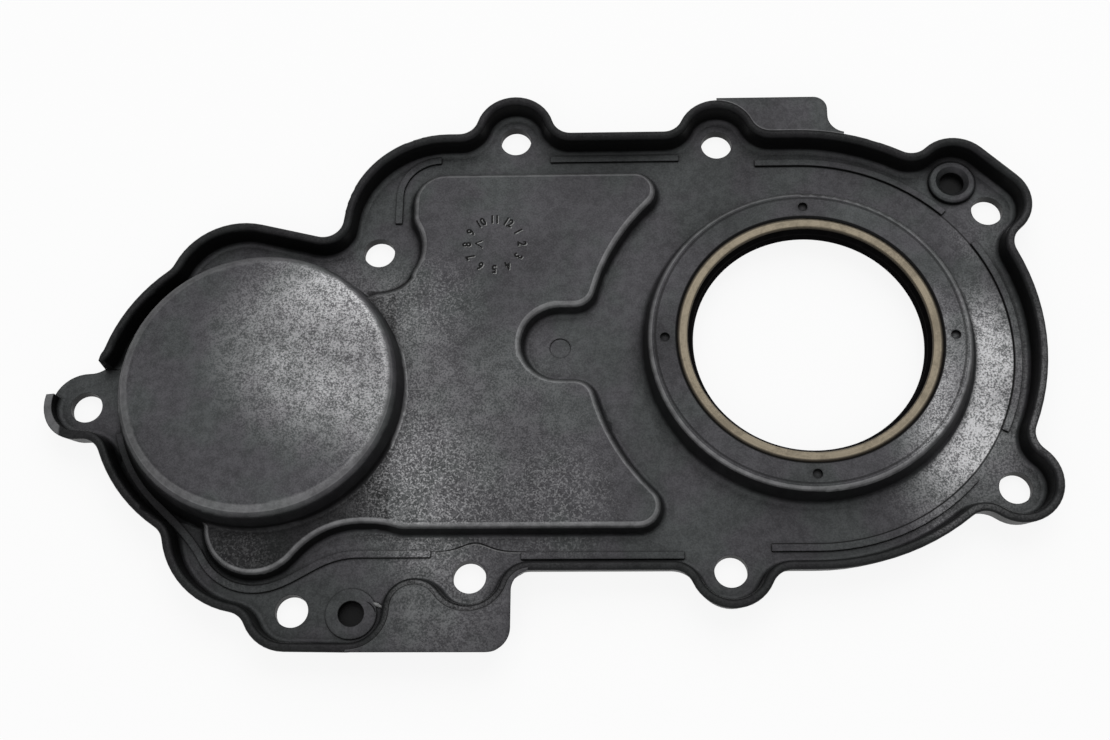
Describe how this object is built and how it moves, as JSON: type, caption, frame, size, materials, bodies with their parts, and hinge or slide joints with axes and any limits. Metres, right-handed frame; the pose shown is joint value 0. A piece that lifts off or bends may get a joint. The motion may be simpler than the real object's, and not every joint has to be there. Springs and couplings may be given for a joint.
{
  "type": "crankshaft seal housing cover",
  "caption": "Two-lobed die-cast end cover with a raised perimeter lip, a round dome, a stepped plateau and a pressed-in shaft seal in its bore.",
  "frame": {"origin": "where the bore axis meets the plane of the mating face", "axes": "+Z along the bore axis, out of the front of the cover; +X along the long sides, from the dome towards the seal"},
  "size_m": [0.2807, 0.1673, 0.017],
  "materials": {
    "cast_metal": "dark die-cast skin, mottled, rubbed lighter on the edges",
    "seal_case_metal": "tan coated pressed steel",
    "seal_rubber": "smooth black rubber",
    "spring_steel": "bright wire"
  },
  "bodies": {
    "root": {"seal_cover": "cast_metal", "seal_case": "seal_case_metal", "seal_lip": "seal_rubber", "garter_spring": "spring_steel"}
  },
  "joints": []
}
